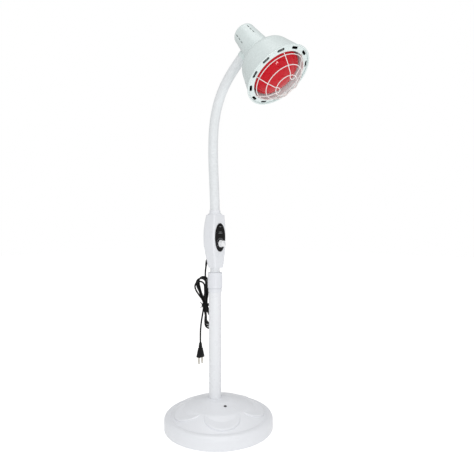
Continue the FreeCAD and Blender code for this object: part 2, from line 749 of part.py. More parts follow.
def lamp_holder():
    bore_r = bulb_cap_r + slide_gap + shell_t
    body = turned(((0, holder_h0, 0), (holder_r, holder_h0, 2.0), (holder_r, holder_h1, 1.0), (bore_r, holder_h1, 0),
                   (bore_r, bulb_cap_h0 - contact_t - 1, 0), (0, bulb_cap_h0 - contact_t - 1, 0)))
    shell = tube(bore_r, bore_r - shell_t, bulb_cap_h0 + 3, holder_h1 - 1)
    contact = rod(4, bulb_cap_h0 - contact_t - 1, bulb_cap_h0 - 1)
    head_node("lamp_holder", body)
    head_node("holder_screw_shell", shell)
    head_node("holder_contact", contact)


def bulb():
    t = glass_t
    outer = ((bulb_neck_r, bulb_cap_h1, 0), (bulb_neck_r, bulb_neck_h, 0), (bulb_flare_r, bulb_flare_h, 5),
             (bulb_waist_r, bulb_waist_h, 25), (bulb_bell_r, bulb_bell_h, 45), (bulb_r, bulb_side_h0, 18),
             (bulb_r, bulb_side_h1, 9), (bulb_lens_r, bulb_lens_h, 70), (0, bulb_face_h, 0))
    back = 0.4      # the inner outline lies this much further forward on the slopes
    inner = ((0, bulb_face_h - t, 0), (bulb_lens_r, bulb_lens_h - t, 70), (bulb_r - t, bulb_side_h1 - back, 8),
             (bulb_r - t, bulb_side_h0 + back, 17), (bulb_bell_r - t, bulb_bell_h + back, 44),
             (bulb_waist_r - t, bulb_waist_h + back, 24), (bulb_flare_r - t, bulb_flare_h + back, 4),
             (bulb_neck_r - t, bulb_neck_h + back, 0), (bulb_neck_r - t, bulb_cap_h1, 0))
    head_node("bulb_glass", turned(outer + inner))
    cap = turned(((0, bulb_cap_h0, 0), (5, bulb_cap_h0, 0.6), (5, bulb_cap_h0 + 1.5, 0),
                  (bulb_cap_r - 2, bulb_cap_h0 + 4, 0), (bulb_cap_r - 1, bulb_cap_h0 + 5, 0),
                  (bulb_cap_r - 1, bulb_cap_h1, 0), (0, bulb_cap_h1, 0)))
    for i in range(cap_threads):
        h = bulb_cap_h0 + 8 + i * cap_pitch
        cap = cap.fuse(turned(((bulb_cap_r - 1.5, h - 1.2, 0), (bulb_cap_r, h, 0), (bulb_cap_r - 1.5, h + 1.2, 0))))
    head_node("bulb_cap", cap)
    stem = turned(((0, bulb_cap_h1, 0), (bulb_neck_r - t, bulb_cap_h1, 0), (5, bulb_cap_h1 + 16, 4),
                   (4, stem_top_h, 0), (0, stem_top_h, 0)))
    leads = []
    for side in (-1, 1):
        foot = Vector(side * 2.5, 0, stem_top_h)
        top = Vector(side * filament_half, 0, filament_h)
        leads.append(along(foot, top - foot, lead_r, (top - foot).Length))
    coil = along(Vector(-filament_half, 0, filament_h), X, coil_r, 2 * filament_half)
    head_node("bulb_stem", stem)
    head_node("filament", leads[0].fuse(leads[1]).fuse(coil))


def on_dome(x, y, r):
    return Vector(x, y, dome_centre_h + math.sqrt(r * r - x * x - y * y))


def hairpins():
    """Bent wires from the face ring to near the middle of the guard and back, lying on its rings."""
    reach = dome_r + 2 * wire_r - weld_bite
    root = polar(hairpin_root_r, hairpin_root_half)
    plan = []
    for i in range(5):
        k = i / 4.0
        plan.append((root.x + (hairpin_neck_x - root.x) * k, root.y + (hairpin_neck_y - root.y) * k))
    nose_r = hairpin_neck_x - hairpin_nose_x
    for angle in (30, 60):
        a = math.radians(angle)
        plan.append((hairpin_neck_x - nose_r * math.sin(a), hairpin_neck_y * math.cos(a)))
    plan = plan + [(hairpin_nose_x, 0.0)] + [(x, -y) for x, y in reversed(plan)]
    points = [on_dome(x, y, reach) for x, y in plan]
    feet = [Vector(p.x, p.y, p.z - leg_depth) for p in (points[0], points[-1])]
    curve = Part.BSplineCurve()
    curve.interpolate([feet[0]] + points + [feet[1]])
    pin = sweep(Part.Wire(curve.toShape()), wire_r)
    return turned_copies(pin, hairpin_count, first=guard_turn)


def guard():
    rings = []
    for ring_r in guard_ring_rs:
        h = on_dome(ring_r, 0, dome_r).z
        rings.append(Part.makeTorus(ring_r, wire_r, Vector(0, 0, h), Z))
    head_node("guard_rings", *rings)
    head_node("guard_hairpins", *hairpins())


# ==== cord ========================================================================================================
def hang(l, t, up):
    """A point beside the pole: along the hank's plane, away from it, and above the box's foot."""
    a = math.radians(view_turn)
    across = Vector(math.cos(a), -math.sin(a), 0)
    toward = Vector(-math.sin(a), -math.cos(a), 0)
    return POLE + across * l + toward * t + Z * (box_foot_z + up)


def cord_run(name, points):
    """A round cord through hand-placed points, with every bend a tangent arc."""
    radii = [0]
    for i in range(1, len(points) - 1):
        back = points[i - 1] - points[i]
        ahead = points[i + 1] - points[i]
        turn = math.pi - back.getAngle(ahead)
        radii.append(0.45 * min(back.Length, ahead.Length) / math.tan(turn / 2))
    radii.append(0)
    wire = path(points, radii)
    run = sweep(wire, cord_r)
    share = run.Volume / (math.pi * cord_r ** 2 * wire.Length)
    print(name, "length %.0f" % wire.Length, "radii", ["%.0f" % r for r in radii[1:-1]], "volume share %.3f" % share)
    node(name, run)


def cord():
    lean = math.radians(gland_lean)
    gland_axis = Vector(0, math.sin(lean), -math.cos(lean))
    leave = POLE + Vector(0, gland_back, gland_z) + gland_axis * (gland_len - gland_seat)
    cord_run("cord_upper", [leave, leave + gland_axis * cord_exit] + [hang(*p) for p in cord_upper_route])
    cord_run("cord_tail", [hang(*p) for p in cord_tail_route])
    rings = []
    for z, l, half_w, half_t in hank_stations:
        ring = Part.Ellipse(Vector(), half_w, half_t).toShape()
        ring.rotate(Vector(), Z, -view_turn)
        ring.translate(hang(l, -hank_back, z))
        rings.append(Part.Wire(ring))
    node("cord_hank", Part.makeLoft(rings, True, False))
    waist = [s for s in hank_stations if s[0] == tie_z][0]
    bands = []
    for i in range(tie_turns):
        band = Part.Ellipse(Vector(), waist[2] + tie_r, waist[3] + tie_r).toShape()
        band.rotate(Vector(), Z, -view_turn)
        band.translate(hang(waist[1], -hank_back, tie_z + (i - 1) * tie_pitch))
        bands.append(sweep(Part.Wire(band), tie_r))
    tie = bands[0]
    for band in bands[1:]:
        tie = tie.fuse(band)
    node("cord_tie", tie)

    end = hang(*cord_tail_route[-1])
    relief_top = end.z
    body_top = relief_top - plug_relief
    body_foot = body_top - plug_len
    relief = Part.makeCone(plug_relief_r, cord_r, plug_relief, Vector(end.x, end.y, body_top), Z)
    corners = []
    for sx, sy in ((-1, -1), (1, -1), (1, 1), (-1, 1)):
        corners.append(Vector(end.x + sx * plug_w / 2, end.y + sy * plug_d / 2, body_foot))
    block = Part.Face(path(corners, (plug_round,) * 4, closed=True)).extrude(Z * plug_len)
    node("plug_body", block.fuse(relief))
    blades = []
    for side in (-1, 1):
        corner = Vector(end.x + side * blade_gap / 2 - blade_t / 2, end.y - blade_w / 2, body_foot - blade_len)
        blade = Part.makeBox(blade_t, blade_w, blade_len, corner)
        hole = along(Vector(corner.x, end.y, body_foot - blade_len + blade_hole_up), X, blade_hole_r, blade_t)
        blades.append(blade.cut(hole))
    node("plug_blades", *blades)


def build():
    base()
    pole_foot()
    twist_lock()
    upper_pole()
    control_box()
    knob()
    neck()
    shade()
    socket_housing()
    lamp_holder()
    bulb()
    guard()
    cord()


build()
os.makedirs("parts", exist_ok=True)
for name, shape in NODES.items():
    shape.exportStep("parts/" + name + ".step")
    if not shape.isValid():
        print("not valid:", name)
print(len(NODES), "nodes")
for i, (at, lean) in enumerate(neck_nodes()):
    print("neck node", i, "%.4f %.4f lean %.1f" % (at.y / 1000, at.z / 1000, lean))
place = head_place()
print("head origin", place.Base, "axis", place.Rotation.multVec(Z))
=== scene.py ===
# %% [markdown]
# # A heat lamp on a floor stand, dressed for its portrait
# The engineering model gives every hard part at its real size and place. This script keeps those parts, gives each of
# them a surface, and adds what is soft, ribbed or printed: the cord in its hank, the plug, the ribbed sleeve of the
# flexible neck and the marks on the dial.

# %% Load the engineering model
import json
import math
import bpy
from mathutils import Matrix, Vector


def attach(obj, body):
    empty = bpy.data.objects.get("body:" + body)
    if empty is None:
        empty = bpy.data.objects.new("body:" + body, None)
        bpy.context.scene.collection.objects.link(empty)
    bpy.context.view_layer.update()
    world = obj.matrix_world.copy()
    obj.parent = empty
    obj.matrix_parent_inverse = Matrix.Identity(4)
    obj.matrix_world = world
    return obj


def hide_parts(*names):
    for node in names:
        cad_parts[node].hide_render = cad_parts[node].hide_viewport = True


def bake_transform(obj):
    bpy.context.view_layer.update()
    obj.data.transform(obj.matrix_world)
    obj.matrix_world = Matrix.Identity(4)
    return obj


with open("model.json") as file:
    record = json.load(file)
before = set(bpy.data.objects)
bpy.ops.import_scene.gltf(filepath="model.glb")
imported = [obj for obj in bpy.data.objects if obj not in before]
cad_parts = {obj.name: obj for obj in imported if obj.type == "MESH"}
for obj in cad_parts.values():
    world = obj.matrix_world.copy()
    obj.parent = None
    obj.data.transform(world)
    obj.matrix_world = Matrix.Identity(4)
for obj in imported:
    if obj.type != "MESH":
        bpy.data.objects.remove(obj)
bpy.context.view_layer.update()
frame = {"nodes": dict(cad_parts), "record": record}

NODES = frame["nodes"]
POLE_BACK = 12.0          # millimetres behind the base's centre
VIEW_TURN = 51.5          # degrees between the lamp's front and the camera
VIEW = math.radians(VIEW_TURN)
ACROSS = Vector((math.cos(VIEW), -math.sin(VIEW), 0))
TOWARD = Vector((-math.sin(VIEW), -math.cos(VIEW), 0))
print("nodes from the model:", len(NODES))

# %% [markdown]
# The studio comes first. The picture was taken from a little above the middle of the lamp, from its front left, so the
# camera stands about 1.2 m away and looks almost level. A pale floor that fades into the backdrop, a large soft light
# in front and a very wide one overhead give the flat light of a catalogue picture. A harder key light would show the
# form better, but it would throw a shadow that the real picture does not have. A small weak light is there only for
# the gleam that it makes on the bulb.

# %% Camera, floor and lights
FOCAL_PX = 460.0          # focal length, in the same small units as the picture's width
PICTURE = 474.0           # the picture's width
SENSOR = 36.0
CAMERA_Z = 521.0          # its height in millimetres
CAMERA_PITCH = 1.5        # degrees down
CAMERA_AWAY = 1187.0      # from the pole, along the view
CAMERA_SIDE = 56.8        # the optical axis passes this far to the right of the pole


def mm(*values):
    """A vector given in millimetres."""
    return Vector(values) / 1000.0


def hang(l, t, z):
    """A point beside the pole: along the picture, towards the camera, and up, in millimetres."""
    return mm(0, POLE_BACK, z) + ACROSS * (l / 1000.0) + TOWARD * (t / 1000.0)


def look_along(obj, direction):
    obj.rotation_euler = direction.to_track_quat("-Z", "Y").to_euler()


camera_data = bpy.data.cameras.new("camera")
camera = bpy.data.objects.new("camera", camera_data)
bpy.context.scene.collection.objects.link(camera)
camera_data.sensor_width = SENSOR
camera_data.lens = FOCAL_PX / PICTURE * SENSOR
camera_data.clip_start = 0.05
camera.location = hang(CAMERA_SIDE, CAMERA_AWAY, CAMERA_Z)
pitch = math.radians(CAMERA_PITCH)
look_along(camera, -TOWARD * math.cos(pitch) - Vector((0, 0, math.sin(pitch))))
bpy.context.scene.camera = camera


def add_light(name, kind, where, target, power):
    """A light that stands at one point and looks at another."""
    data = bpy.data.lights.new(name, kind)
    data.energy = power
    lamp = bpy.data.objects.new(name, data)
    bpy.context.scene.collection.objects.link(lamp)
    lamp.location = where
    look_along(lamp, target - where)
    return data


def area_light(name, where, target, size, power):
    data = add_light(name, "AREA", where, target, power)
    data.shape = "SQUARE"
    data.size = size


ROOM_LIGHT = 0.50         # what the pale room itself sends onto the lamp
middle = mm(0, 0, 450)
HEAD = mm(0, -182.948, 863.005)   # the middle of the shade's mouth
HEAD_TILT = math.radians(50.5)    # how far it points below the horizontal
HEAD_AXIS = Vector((0, -math.cos(HEAD_TILT), -math.sin(HEAD_TILT)))
area_light("light_front", middle + ACROSS * 0.3 + TOWARD * 2.6, middle, 1.3, 15)
area_light("light_spark", mm(84, -665, 509), HEAD, 0.07, 0.35)
above = middle + Vector((0, 0, 2))
overhead = add_light("light_overhead", "SUN", above, above - TOWARD * 0.35 - Vector((0, 0, 1)), 1.25)
overhead.angle = math.radians(60)


def hex_rgb(code):
    """The linear value that the shaders take, from a colour picked as it looks on screen."""
    parts = [int(code[i:i + 2], 16) / 255.0 for i in (1, 3, 5)]
    linear = [p / 12.92 if p <= 0.04045 else ((p + 0.055) / 1.055) ** 2.4 for p in parts]
    return (*linear, 1.0)


def clear_selection():
    if bpy.context.mode != "OBJECT":
        bpy.ops.object.mode_set(mode="OBJECT")
    bpy.ops.object.select_all(action="DESELECT")


def add_node(tree, kind, at=(0, 0), **inputs):
    """One shader node with its inputs set: a value sets a socket, a socket links to it."""
    made = tree.nodes.new(kind)
    made.location = at
    for key, value in inputs.items():
        socket = made.inputs[key.replace("_", " ")]
        if isinstance(value, bpy.types.NodeSocket):
            tree.links.new(value, socket)
        else:
            socket.default_value = value
    return made


world = bpy.data.worlds.new("studio")
bpy.context.scene.world = world
world.use_nodes = True
sky = world.node_tree
sky.nodes.clear()
seen = add_node(sky, "ShaderNodeLightPath")
backdrop = add_node(sky, "ShaderNodeMapRange", Value=seen.outputs["Is Camera Ray"])
backdrop.inputs["To Min"].default_value = ROOM_LIGHT
backdrop.inputs["To Max"].default_value = 1.0      # and how bright it looks behind the lamp
sky_light = add_node(sky, "ShaderNodeBackground", Color=hex_rgb("#FFFFFF"), Strength=backdrop.outputs[0])
add_node(sky, "ShaderNodeOutputWorld", Surface=sky_light.outputs[0])
bpy.context.scene.view_settings.view_transform = "Standard"

clear_selection()
bpy.ops.mesh.primitive_plane_add(size=14, location=(0, 0, -0.0004))
floor = bpy.context.object
floor.name = "floor"
floor_paint = bpy.data.materials.new("studio_floor")
floor_paint.use_nodes = True
tree = floor_paint.node_tree
tree.nodes.clear()
paper = add_node(tree, "ShaderNodeBsdfDiffuse", Color=hex_rgb("#BCBCBC"))
seen = add_node(tree, "ShaderNodeLightPath")
shine = add_node(tree, "ShaderNodeMapRange", Value=seen.outputs["Is Camera Ray"])
shine.inputs["To Min"].default_value = 0.56        # what the floor sends onto the lamp
shine.inputs["To Max"].default_value = 0.72        # and what it adds to its own look, to be as white as the backdrop
glow = add_node(tree, "ShaderNodeEmission", Color=hex_rgb("#FFFFFF"), Strength=shine.outputs[0])
both = add_node(tree, "ShaderNodeAddShader")
tree.links.new(paper.outputs[0], both.inputs[0])
tree.links.new(glow.outputs[0], both.inputs[1])
end = add_node(tree, "ShaderNodeOutputMaterial")
tree.links.new(both.outputs[0], end.inputs["Surface"])
floor.data.materials.append(floor_paint)
print("camera at", [round(v, 3) for v in camera.location])

# %% [markdown]
# Every surface is made by one function. A real painted or moulded part is never perfectly even: its gloss changes a
# little from place to place and its skin has a very fine grain. Both come from noise in the part's own coordinates, at
# a scale given in millimetres, so that the same paint looks the same on a large part and on a small one.

# %% Surfaces
def surface(name, colour, rough, metal=0.0, grain_mm=0.6, grain=0.05, cloud_mm=18.0, cloud=0.06, coat=0.0,
            specular=0.5, shade=0.03):
    """A principled surface with a fine grain, uneven gloss and a slight change of tone."""
    made = bpy.data.materials.new(name)
    made.use_nodes = True
    tree = made.node_tree
    tree.nodes.clear()
    where = add_node(tree, "ShaderNodeTexCoord", (-1100, 0)).outputs["Object"]
    cloud_node = add_node(tree, "ShaderNodeTexNoise", (-900, 150), Vector=where, Scale=1000.0 / cloud_mm, Detail=3.0)
    fine_node = add_node(tree, "ShaderNodeTexNoise", (-900, -250), Vector=where, Scale=1000.0 / grain_mm, Detail=2.0)
    gloss = add_node(tree, "ShaderNodeMapRange", (-650, 0), Value=cloud_node.outputs["Fac"])
    gloss.inputs["From Min"].default_value = 0.3
    gloss.inputs["From Max"].default_value = 0.7
    gloss.inputs["To Min"].default_value = max(rough - cloud, 0.02)
    gloss.inputs["To Max"].default_value = min(rough + cloud, 1.0)
    base = hex_rgb(colour)
    darker = tuple(c * (1.0 - shade) for c in base[:3]) + (1.0,)
    tone = add_node(tree, "ShaderNodeMix", (-650, 300))
    tone.data_type = "RGBA"
    tree.links.new(cloud_node.outputs["Fac"], tone.inputs[0])
    tone.inputs[6].default_value = base
    tone.inputs[7].default_value = darker
    bump = add_node(tree, "ShaderNodeBump", (-450, -250), Height=fine_node.outputs["Fac"], Strength=grain)
    bump.inputs["Distance"].default_value = grain_mm / 4000.0
    skin = add_node(tree, "ShaderNodeBsdfPrincipled", (-200, 0), Metallic=metal, Normal=bump.outputs[0])
    tree.links.new(tone.outputs[2], skin.inputs["Base Color"])
    tree.links.new(gloss.outputs[0], skin.inputs["Roughness"])
    skin.inputs["Specular IOR Level"].default_value = specular
    skin.inputs["Coat Weight"].default_value = coat
    skin.inputs["Coat Roughness"].default_value = 0.06
    add_node(tree, "ShaderNodeOutputMaterial", (100, 0), Surface=skin.outputs[0])
    return made


LOOK = {
    "base_plastic": surface("white_base", "#E3E5E9", 0.34, grain_mm=0.9, grain=0.08),
    "black_plastic": surface("black_moulding", "#1A1A1B", 0.45),
    "steel_plate": surface("painted_plate", "#C9CBCE", 0.5),
    "zinc_steel": surface("zinc_plating", "#B9BCC0", 0.32, metal=1.0),
    "rubber_pad": surface("foam_pad", "#1F1F20", 0.85, grain_mm=1.4, grain=0.4),
    "cast_ballast": surface("raw_casting", "#3A3A3C", 0.7, metal=0.6, grain_mm=1.5, grain=0.4),
    "turned_steel": surface("turned_steel", "#A9ABAF", 0.28, metal=1.0),
    "pole_paint": surface("white_powder_coat", "#E5E7EA", 0.3, grain_mm=0.7, grain=0.07),
    "lock_plastic": surface("white_lock", "#E0E2E7", 0.38, grain_mm=0.7),
    "nylon": surface("natural_nylon", "#DCDAD2", 0.5),
    "box_plastic": surface("white_box", "#E4E6EA", 0.3, grain_mm=0.8, grain=0.08),
    "gloss_panel": surface("black_gloss", "#060607", 0.22, grain=0.01, cloud=0.03, specular=0.18),
    "black_rubber": surface("black_cord", "#0C0C0D", 0.46, grain_mm=0.4, grain=0.1, cloud_mm=8, specular=0.2),
    "nickel": surface("nickel", "#C7C3BA", 0.26, metal=1.0),
    "knob_plastic": surface("white_knob", "#EDEEF0", 0.25),
    "neck_sleeve": surface("white_sleeve", "#E3E6E8", 0.4, grain_mm=0.5),
    "shade_paint": surface("shade_coat", "#D9E3E2", 0.27, grain_mm=0.8, grain=0.06),
    "ceramic": surface("glazed_ceramic", "#E6E1D8", 0.22),
    "tungsten": surface("tungsten", "#55534F", 0.4, metal=1.0),
    "red_glass": surface("red_lacquer", "#C4061C", 0.10, grain=0.0, cloud=0.02, cloud_mm=30, specular=0.22, shade=0.1),
    "clear_glass": surface("bulb_stem_glass", "#C9D0D0", 0.06, grain=0.0),
    "guard_paint": surface("guard_coat", "#E9E6E4", 0.3, grain_mm=0.5),
}
slot_of = {entry["node"]: entry["material_slot"] for entry in frame["record"]["subparts"]}


def paint(obj, material):
    """Gives a piece one material on all its faces."""
    obj.data.materials.clear()
    obj.data.materials.append(material)


for node_name, obj in NODES.items():
    material = LOOK.get(slot_of[node_name])
    if material is not None:
        for i in range(len(obj.material_slots)):
            obj.material_slots[i].material = material

# painted shade: the inward faces of the shade and the socket housing get a near-black paint that stands in for the
# shadow inside them, which is what shows through their slots
PAINTED_SHADE_INSIDE = surface("painted_shade_inside", "#1B1A1A", 0.7, specular=0.2)
for node_name in ("shade", "socket_housing"):
    obj = NODES[node_name]
    obj.data.materials.append(PAINTED_SHADE_INSIDE)
    painted_shade_index = len(obj.data.materials) - 1
    place = obj.matrix_world
    for face in obj.data.polygons:
        out = place @ face.center - HEAD
        depth = out.dot(HEAD_AXIS)
        out -= HEAD_AXIS * depth
        # faces behind the mouth that look in towards the head's axis take the painted shade
        if (place.to_3x3() @ face.normal).dot(out) < -0.3 * out.length and depth < -0.004:
            face.material_index = painted_shade_index
print("surfaces:", len(LOOK))

# %% [markdown]
# The cord hangs from the back of the box and is folded in a hank, tied at its middle, with a short tail that ends in
# the plug. It is one line from end to end, because that is what the real one is: every fold of the hank is more of the
# same cord. A fold follows the corners of an octagon, which this kind of line rounds to a half circle. The folds are
# not alike: the upper ones fan out to the left, and the lower ones stay close together behind the pole.

# %% The cord
CORD_R = 2.2
GLAND_BACK = 19.0         # where the gland leaves the box, behind the pole
GLAND_Z = 441.0
GLAND_LEAN = math.radians(35.0)
GLAND_AXIS = Vector((0, math.sin(GLAND_LEAN), -math.cos(GLAND_LEAN)))
GLAND_END = mm(0, POLE_BACK + GLAND_BACK, GLAND_Z) + GLAND_AXIS * 0.010
CORD_END = (-40.4, -28.0, 209.0)

cord_points = [GLAND_END, GLAND_END + GLAND_AXIS * 0.009]
cord_points += [hang(*p) for p in (
    (-24.6, -19.4, 413.0), (-26.6, -21.4, 398.0), (-26.8, -23.4, 385.0), (-24.6, -26.0, 373.0), (-21.5, -29.0, 361.0),
    (-19.8, -31.0, 348.0), (-21.0, -30.0, 334.0),
)]
WAIST_L, WAIST_T = -27.2, -27.4
# places of the strands in the waist: along the picture and in depth, from the waist's middle
STRANDS = ((3.6, 3.6), (0.2, 4.4), (-4.2, 3.6), (4.0, -0.6), (0.0, 0.2), (-4.4, -0.6), (3.4, -4.8), (-0.4, -4.2),
           (-4.6, -4.6))
# each lower fold: left and right edge, depth, lowest point; each upper fold: right and left edge, depth, highest point
LOWER = ((-27.5, -5.0, -24.5, 248.0), (-26.0, -4.0, -30.5, 257.0), (-24.5, -2.5, -22.5, 262.0),
         (-28.5, -6.5, -33.0, 252.0))
UPPER = ((-28.5, -54.0, -23.0, 372.0), (-20.0, -44.0, -28.5, 384.0), (-26.0, -51.0, -33.0, 379.0),
         (-23.5, -47.5, -26.0, 381.0))
ROUND = 0.414             # the corners of an octagon around a circle stand this share of its radius from the middle
STRAIGHT = 1.5            # a fold turns into its straight legs this many radii from its end


def between(a, b, share):
    return a * share + b * (1.0 - share)


for turn in range(len(LOWER)):
    down_l, down_t = STRANDS[2 * turn][0] + WAIST_L, STRANDS[2 * turn][1] + WAIST_T
    up_l, up_t = STRANDS[2 * turn + 1][0] + WAIST_L, STRANDS[2 * turn + 1][1] + WAIST_T
    next_l, next_t = STRANDS[2 * turn + 2][0] + WAIST_L, STRANDS[2 * turn + 2][1] + WAIST_T
    left, right, low_t, low = LOWER[turn]
    near, far, high_t, high = UPPER[turn]
    r = (right - left) / 2
    middle_l = (left + right) / 2
    top_r = (near - far) / 2
    top_l = (near + far) / 2
    cord_points += [hang(*p) for p in (
        (down_l, down_t, 320.0),
        (down_l, down_t, 303.0),
        (between(down_l, left, 0.35), (down_t + low_t) / 2, (303.0 + low + STRAIGHT * r) / 2),
        (left, low_t, low + STRAIGHT * r),
        (left, low_t, low + (1 - ROUND) * r),
        (middle_l - ROUND * r, low_t, low),
        (middle_l + ROUND * r, low_t, low),
        (right, low_t, low + (1 - ROUND) * r),
        (right, low_t, low + (STRAIGHT + 0.1) * r),
        (between(up_l, right, 0.6), (up_t + low_t) / 2, (307.0 + low + STRAIGHT * r) / 2),
        (up_l, up_t, 307.0),
        (up_l, up_t, 322.0),
        (between(up_l, near, 0.5), (up_t + high_t) / 2, 338.0),
        (near, high_t, high - STRAIGHT * top_r),
        (near, high_t, high - (1 - ROUND) * top_r),
        (top_l + ROUND * top_r, high_t, high),
        (top_l - ROUND * top_r, high_t, high),
        (far, high_t, high - (1 - ROUND) * top_r),
        (far, high_t, high - STRAIGHT * top_r),
        (between(next_l, far, 0.4), (next_t + high_t) / 2, 338.0),
    )]
last_l, last_t = STRANDS[-1][0] + WAIST_L, STRANDS[-1][1] + WAIST_T
cord_points += [hang(*p) for p in (
    (last_l, last_t, 320.0), (last_l, last_t + 0.5, 303.0), (-34.4, -28.0, 285.0), (-37.6, -27.4, 267.0),
    (-39.8, -27.6, 247.0), (-40.6, -28.0, 227.0), CORD_END,
)]


def spline_object(name, points, bevel, radii=None):
    """A round rod along one smooth spline."""
    data = bpy.data.curves.new(name, "CURVE")
    data.dimensions = "3D"
    line = data.splines.new("NURBS")
    line.points.add(len(points) - 1)
    for i, point in enumerate(points):
        line.points[i].co = (*point, 1.0)
        if radii:
            line.points[i].radius = radii[i]
    line.order_u = 3
    line.use_endpoint_u = True
    line.resolution_u = 6
    data.bevel_depth = bevel
    data.bevel_resolution = 4
    data.use_fill_caps = True
    made = bpy.data.objects.new(name, data)
    bpy.context.scene.collection.objects.link(made)
    return made


def curve_length(obj):
    """Length of a curve's own line."""
    bare = obj.copy()
    bare.data = obj.data.copy()
    bare.data.bevel_depth = 0
    bpy.context.scene.collection.objects.link(bare)
    bpy.context.view_layer.update()
    mesh = bpy.data.meshes.new_from_object(bare.evaluated_get(bpy.context.evaluated_depsgraph_get()))
    total = sum((mesh.vertices[e.vertices[0]].co - mesh.vertices[e.vertices[1]].co).length for e in mesh.edges)
    bpy.data.objects.remove(bare)
    return total


cord = spline_object("mains_cord", cord_points, CORD_R / 1000.0)
paint(cord, LOOK["black_rubber"])
cord_length = curve_length(cord)
print("cord length", round(cord_length, 3), "points", len(cord_points))
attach(cord, "mast")
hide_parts("cord_upper", "cord_hank", "cord_tail")

# %% [markdown]
# A twist tie holds the hank at its waist: a thin wire in black plastic, wound three times around and left with two
# short ends. A flat band would look like a cable tie, so it is a wound wire, made with the same kind of line as the
# cord.

# %% The tie
TIE_R = 1.0
TIE_Z = 310.0
TIE_LOOP_R = 9.6
TIE_TURNS = 3
TIE_STEPS = 8             # points in each turn
TIE_TOP = 3.2             # the first turn starts this far above the waist's middle
TIE_HEIGHT = 6.6          # all the turns together
tie_points = [hang(WAIST_L - 13.0, WAIST_T + 1.0, TIE_Z + 7.0), hang(WAIST_L - 9.5, WAIST_T + 4.0, TIE_Z + 4.0)]
for i in range(TIE_TURNS * TIE_STEPS + 3):
    angle = math.radians(150.0 - i * 360.0 / TIE_STEPS)
    drop = i * TIE_HEIGHT / (TIE_TURNS * TIE_STEPS)
    tie_points.append(hang(WAIST_L + TIE_LOOP_R * math.cos(angle), WAIST_T + TIE_LOOP_R * math.sin(angle),
                           TIE_Z + TIE_TOP - drop))
tie_points += [hang(WAIST_L - 9.0, WAIST_T + 5.0, TIE_Z - 4.5), hang(WAIST_L - 12.5, WAIST_T + 3.0, TIE_Z - 7.0)]
tie = spline_object("cord_twist_tie", tie_points, TIE_R / 1000.0)
paint(tie, LOOK["black_rubber"])
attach(tie, "mast")
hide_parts("cord_tie")

# %% [markdown]
# The plug is moulded on the cord. Its body is widest where the blades come out and narrows towards the cord, with grip
# ridges on both faces and a short ribbed neck that lets the cord bend. It starts as a cube: the upper end is scaled in,
# the lower end is drawn in a little, and all the edges are rounded.

# %% The plug
PLUG_W, PLUG_D, PLUG_LEN, PLUG_NECK = 21.0, 12.0, 25.0, 14.0
PLUG_TAPER = (0.50, 0.68, 1.0)      # how much narrower its upper end is
PLUG_FOOT = (0.84, 0.84, 1.0)       # and the rounded lower end
RIDGES = 4                          # grip ridges on each face
RIDGE_STEP = 3.4
NECK_RINGS = 4                      # rings on the strain relief
NECK_RING_STEP = 0.003
plug_top = hang(*CORD_END)


def begin_edit(obj):
    clear_selection()
    obj.select_set(True)
    bpy.context.view_layer.objects.active = obj
    bpy.ops.object.mode_set(mode="EDIT")
    bpy.ops.mesh.select_all(action="DESELECT")
    bpy.ops.object.mode_set(mode="OBJECT")


def select_faces(obj, test):
    """Selects the faces for which test(centre, normal) holds, and goes to edit mode."""
    begin_edit(obj)
    for face in obj.data.polygons:
        face.select = test(face.center, face.normal)
    bpy.ops.object.mode_set(mode="EDIT")


def end_edit():
    bpy.ops.object.mode_set(mode="OBJECT")


def apply_all(obj):
    """Moves the object's place into its mesh and applies its modifiers."""
    clear_selection()
    obj.select_set(True)
    bpy.context.view_layer.objects.active = obj
    for modifier in list(obj.modifiers):
        bpy.ops.object.modifier_apply(modifier=modifier.name)
    bpy.ops.object.transform_apply(location=True, rotation=True, scale=True)


def bevelled(obj, width_mm, segments=3, angle=30.0):
    modifier = obj.modifiers.new("round", "BEVEL")
    modifier.width = width_mm / 1000.0
    modifier.segments = segments
    modifier.limit_method = "ANGLE"
    modifier.angle_limit = math.radians(angle)
    return modifier


def smooth(obj, angle=40.0):
    clear_selection()
    obj.select_set(True)
    bpy.context.view_layer.objects.active = obj
    bpy.ops.object.shade_smooth_by_angle(angle=math.radians(angle))


def joined(name, parts):
    """Several meshes as one piece."""
    clear_selection()
    for part in parts:
        part.select_set(True)
    bpy.context.view_layer.objects.active = parts[0]
    if len(parts) > 1:
        bpy.ops.object.join()
    made = bpy.context.object
    made.name = name
    return made


def dress(obj, name, body, slot, look=None, stands_for=()):
    """Names a finished piece and says what it rides on and stands for."""
    obj.name = name
    paint(obj, LOOK[look or slot])
    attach(obj, body)
    if stands_for:
        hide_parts(*stands_for)
    return obj


def block(size_mm, centre):
    clear_selection()
    bpy.ops.mesh.primitive_cube_add(size=1, location=centre)
    made = bpy.context.object
    made.scale = mm(*size_mm)
    bpy.ops.object.transform_apply(location=False, rotation=False, scale=True)
    return made


plug_mid = plug_top + mm(0, 0, -PLUG_NECK - PLUG_LEN / 2)
shell = block((PLUG_W, PLUG_D, PLUG_LEN), plug_mid)
select_faces(shell, lambda c, n: n.z > 0.9)
bpy.ops.transform.resize(value=PLUG_TAPER)
end_edit()
select_faces(shell, lambda c, n: n.z < -0.9)
bpy.ops.mesh.extrude_region_move(TRANSFORM_OT_translate={"value": (0, 0, 0.0)})
bpy.ops.transform.resize(value=PLUG_FOOT)
bpy.ops.transform.translate(value=(0, 0, -0.0002))
end_edit()
bevelled(shell, 2.6, 4)
apply_all(shell)
parts = [shell]
for side in (-1, 1):
    for i in range(RIDGES):
        out = side * (PLUG_D / 2 - 0.55 - i * 0.42)
        ridge = block((9.0 - i * 0.7, 1.2, 1.3), plug_mid + mm(0, out, -5.0 + i * RIDGE_STEP))
        bevelled(ridge, 0.4, 2)
        apply_all(ridge)
        parts.append(ridge)
neck_z = plug_top.z - PLUG_NECK / 1000.0
clear_selection()
